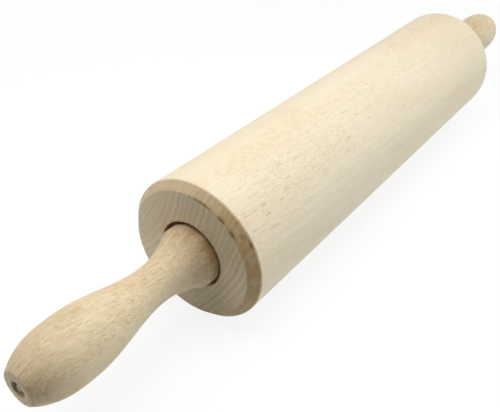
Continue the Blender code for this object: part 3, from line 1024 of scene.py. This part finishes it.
def nutGrid(shape, thread):
    half = shape["slotWidth"] / 2
    back, rim, bevel, hole = pick(shape, "back", "radius", "bevel", "hole")
    top = back + shape["height"]
    faceR = np.linspace(hole + 0.05, rim - bevel, 12)
    rimR = np.array([rim - bevel / 2, rim, rim, rim])
    rimDrop = np.array([bevel / 2, bevel, bevel + 0.1, bevel + 0.8])
    backR = np.concatenate([[rim, rim - 0.1], np.linspace(rim - 0.2, shape["backHole"], 6)])
    holeShare = np.linspace(0.02, 1, 44)
    radius = np.concatenate([faceR, rimR, backR, np.full(len(holeShare), hole)])
    # two quarters of the columns lie on the slot's floor and two on the face between
    floor = np.linspace(-1, 1, shape["floorCuts"])
    face = np.linspace(0, 1, shape["faceCuts"])
    edge = np.arcsin(half / radius)[:, None]
    overFloor = np.arcsin(np.clip(floor * half / radius[:, None], -1, 1))
    overFace = edge + (np.pi - 2 * edge) * face
    angle = np.concatenate([overFloor, overFace, np.pi + overFloor, np.pi + overFace], axis=1)
    faceX = top - shape["slotDepth"] * np.repeat([1, 0, 1, 0], 2 * [len(floor), len(face)])
    backX = np.full((len(backR), len(faceX)), back)
    backX[0] += 0.1
    overX = np.tile(faceX, (len(faceR), 1))
    rimX = np.minimum(faceX, top - rimDrop[:, None])
    holeX = back + holeShare[:, None] * (faceX - back)
    x = np.concatenate([overX, rimX, backX, holeX])
    # the slot runs along Z, so an angle here is measured from +Z towards -Y
    r = np.broadcast_to(radius[:, None], x.shape).copy()
    inHole = slice(-len(holeShare), None)
    wave = threadWave(thread, x[inHole], angle[inHole] + np.pi / 2)
    r[inHole] -= thread["threadDepth"] * (1 - wave) * shape["threadShare"]
    return np.stack([x, -r * np.sin(angle), r * np.cos(angle)], axis=-1)


# Bearings: two rings with a groove for the balls, a crown cage and a shield on each face,
# about the bearing's middle
bearingShape = {
    "middle": 128.3,
    "half": 3.5,
    "inside": 4.0,
    "outside": 11.0,
    "edge": 0.3,
    "pitchRadius": 7.5,
    "landOffset": 1.45,
    "grooveRadius": 2.1345,
    "grooveLip": 2.0,
    "grooveRows": 16,
    "innerEdge": 0.2,
    "shieldSeat": 9.6,
    "shieldShoulder": 2.8,
    "ballRadius": 1.98,
    "balls": 7,
    "cageInside": 6.65,
    "cageOutside": 8.35,
    "cageOpen": -0.95,
    "cageBack": 2.68,
    "cageEdge": 0.12,
    "cageWidest": 2.9,
    "shieldInside": 6.3,
    "shieldOutside": 9.4,
    "shieldPlace": 3.0,
    "shieldSheet": 0.3,
    "columns": 128,
}


# A ring's outline with the groove's arc let into the side that faces the balls
def grooved(side, shape, facing):
    reach = math.acos(shape["landOffset"] / shape["grooveRadius"])
    middle = facing * np.pi / 2
    turn = np.linspace(middle - reach, middle + reach, shape["grooveRows"])
    x = shape["grooveRadius"] * np.cos(turn)
    r = shape["pitchRadius"] + shape["grooveRadius"] * np.sin(turn)
    return np.concatenate([side, np.stack([x, r], axis=1)])


def outerRing(shape):
    half, outside, edge = pick(shape, "half", "outside", "edge")
    land = shape["pitchRadius"] + shape["landOffset"]
    shoulder, seat = pick(shape, "shieldShoulder", "shieldSeat")
    corners = [(-shoulder, land), (-shoulder, seat), (-half, seat), (-half, outside)]
    corners += [(-x, r) for x, r in reversed(corners)]
    radii = [0.08, 0.1, 0.1, edge, edge, 0.1, 0.1, 0.08]
    side = roundedPath(corners, radii, [2, 2, 3, 10, 3, 2, 2, 0], closed=False)
    return grooved(side, shape, 1)


def innerRing(shape):
    half, inside, edge = pick(shape, "half", "inside", "innerEdge")
    land = shape["pitchRadius"] - shape["landOffset"]
    corners = [(shape["grooveLip"], land), (half, land), (half, inside)]
    corners += [(-x, r) for x, r in reversed(corners)]
    radii = [0.05, edge, edge, edge, edge, 0.05]
    side = roundedPath(corners, radii, [3, 4, 10, 4, 3, 0], closed=False)
    return grooved(side, shape, -1)


# Shield: a thin sheet ring whose middle stands a little further out than its two edges
def shieldOutline(shape):
    sheet = shape["shieldSheet"] / 2
    inside, outside = pick(shape, "shieldInside", "shieldOutside")
    lip = shape["shieldPlace"] + sheet * 0.6
    share = np.linspace(0, 1, 25)
    r = outside - 0.08 - share * (outside - inside - 0.16)
    raised = ramp(np.minimum(share - 0.18, 0.84 - share), 0.06)
    raised = raised * raised * (3 - 2 * raised)
    x = lip + raised * sheet * 0.75
    front = np.stack([x + sheet * 0.6, r], axis=1)
    back = np.stack([x - sheet * 0.6, r], axis=1)[::-1]
    return np.concatenate([[(lip, outside)], front, [(lip, inside)], back])


# Cage: the open edge follows a curve round the ring, flat on the lips and round a circle under
# each ball, and the back edge is level. Both walls are straight lines between the two edges.
def cageGrid(shape):
    pocket, lip, pitchR, balls = pick(shape, "grooveRadius", "cageOpen", "pitchRadius", "balls")
    mouth = math.acos(-lip / pocket)
    turn = np.linspace(mouth, fullTurn - mouth, 25)
    pitch = fullTurn * pitchR / balls
    arcS = pocket * np.sin(turn)[::-1]
    lipS = np.linspace(arcS[-1], pitch - arcS[-1], 7)[1:-1]
    openX = np.tile(np.concatenate([-pocket * np.cos(turn), np.full(len(lipS), lip)]), balls)
    openS = np.concatenate([arcS, lipS])
    widest = shape["cageWidest"]
    backLipS = np.linspace(widest, pitch - widest, len(lipS) + 2)[1:-1]
    backS = np.concatenate([np.linspace(-widest, widest, len(arcS)), backLipS])
    ball = np.repeat(np.arange(balls), len(openS)) * fullTurn / balls
    openAngle, backAngle = (ball + np.tile(s, balls) / pitchR for s in (openS, backS))
    # rows: out over the back, along the outer wall, in over the open edge, along the inner wall
    inside, outside, edge = pick(shape, "cageInside", "cageOutside", "cageEdge")
    rims = [inside + edge, (inside + outside) / 2, outside - edge]
    r = np.array(rims + [outside] * 6 + rims[::-1] + [inside] * 6)[:, None]
    wall = [0.96, 0.7, 0.4, 0.2, 0.08, 0.03]
    share = np.array([1, 1, 1] + wall + [0, 0, 0] + wall[::-1])[:, None]
    x = openX + (shape["cageBack"] - openX) * share
    angle = openAngle + (backAngle - openAngle) * share
    # the angle is measured from +Z towards +Y, as the balls' places are
    return np.stack([x, r * np.sin(angle), r * np.cos(angle)], axis=-1)


# Ball: a turned half circle with a pole at each end
def makeBall(number, middle, shape, material, columns=40, rows=22):
    radius = shape["ballRadius"]
    turn = np.linspace(np.pi, 0, rows + 2)[1:-1]
    outline = radius * np.stack([np.cos(turn), np.sin(turn)], axis=1)
    poles = [(middle[0] - radius, *middle[1:]), (middle[0] + radius, *middle[1:])]
    name = f"ball_{number}"
    mesh = gridMesh(f"{name}_ground", turnedGrid(outline, columns) + middle, poles)
    addPiece(f"{name}_ground", mesh, material, name, f"bearing_{name}")


cageNylon = {
    "colour": tint(0.022, 0.022, 0.023),
    "worn": tint(0.05, 0.05, 0.05),
    "blotches": (2.2, 2.2, 2.2),
    "roughness": (0.38, 0.55),
    "relief": 0.00001,
}


def nylon(name, look):
    material, tree, shader = startMaterial(name)
    cloud = noiseValue(tree, millimetres(tree), look["blotches"], 4.0)
    colour = mixColour(tree, cloud, look["colour"], look["worn"])
    finishSurface(tree, shader, look, colour, cloud, (0.3, 0.7), cloud, 0.4)
    return material


def makeBearing(sideName, side, shape, bright, plated, dark):
    sheet = shieldOutline(shape)
    ground = ("ground", bright, "bearing_steel")
    pressed = ("pressed", plated, "hardware_steel")
    rings = {
        "outer_ring": (outerRing(shape), "barrel", *ground),
        "inner_ring": (innerRing(shape), "axle", *ground),
        "shield_in": (sheet[::-1] * (-1, 1), "barrel", *pressed),
        "shield_out": (sheet, "barrel", *pressed),
    }
    for part, (outline, body, finish, material, slot) in rings.items():
        grid = turnedGrid(outline + (shape["middle"], 0), shape["columns"])
        name = f"{part}_{sideName}"
        addSided(f"{name}_{finish}", grid, side, material, body, f"bearing_{name}")
    cage = cageGrid(shape) + (shape["middle"], 0, 0)
    name = f"cage_{sideName}"
    addSided(f"{name}_moulded", cage, side, dark, name, f"bearing_{name}")
    for ball in range(shape["balls"]):
        turn = fullTurn * ball / shape["balls"]
        y = side * shape["pitchRadius"] * math.sin(turn)
        place = (side * shape["middle"], y, shape["pitchRadius"] * math.cos(turn))
        makeBall(f"{sideName}_{ball + 1}", place, shape, bright)


groundBearing = steel("groundSteel", groundSteel)
platedParts = steel("platedSteel", platedSteel)
mouldedCage = nylon("blackNylon", cageNylon)
clamped = [
    ("spacer", "turned", ringGrid(spacerShape), groundBearing, "bearing_steel"),
    ("washer", "stamped", ringGrid(washerShape), platedParts, "hardware_steel"),
    ("nut", "slotted", nutGrid(nutShape, axleShape), platedParts, "hardware_steel"),
]
for sideName, side in (("left", -1), ("right", 1)):
    for part, finish, grid, material, slot in clamped:
        node = f"{part}_{sideName}"
        addSided(f"{node}_{finish}", grid, side, material, "axle", node)
    makeBearing(sideName, side, bearingShape, groundBearing, platedParts, mouldedCage)
print("bearings, spacers, washers and nuts are made")

bpy.context.scene.view_settings.view_transform = "Standard"
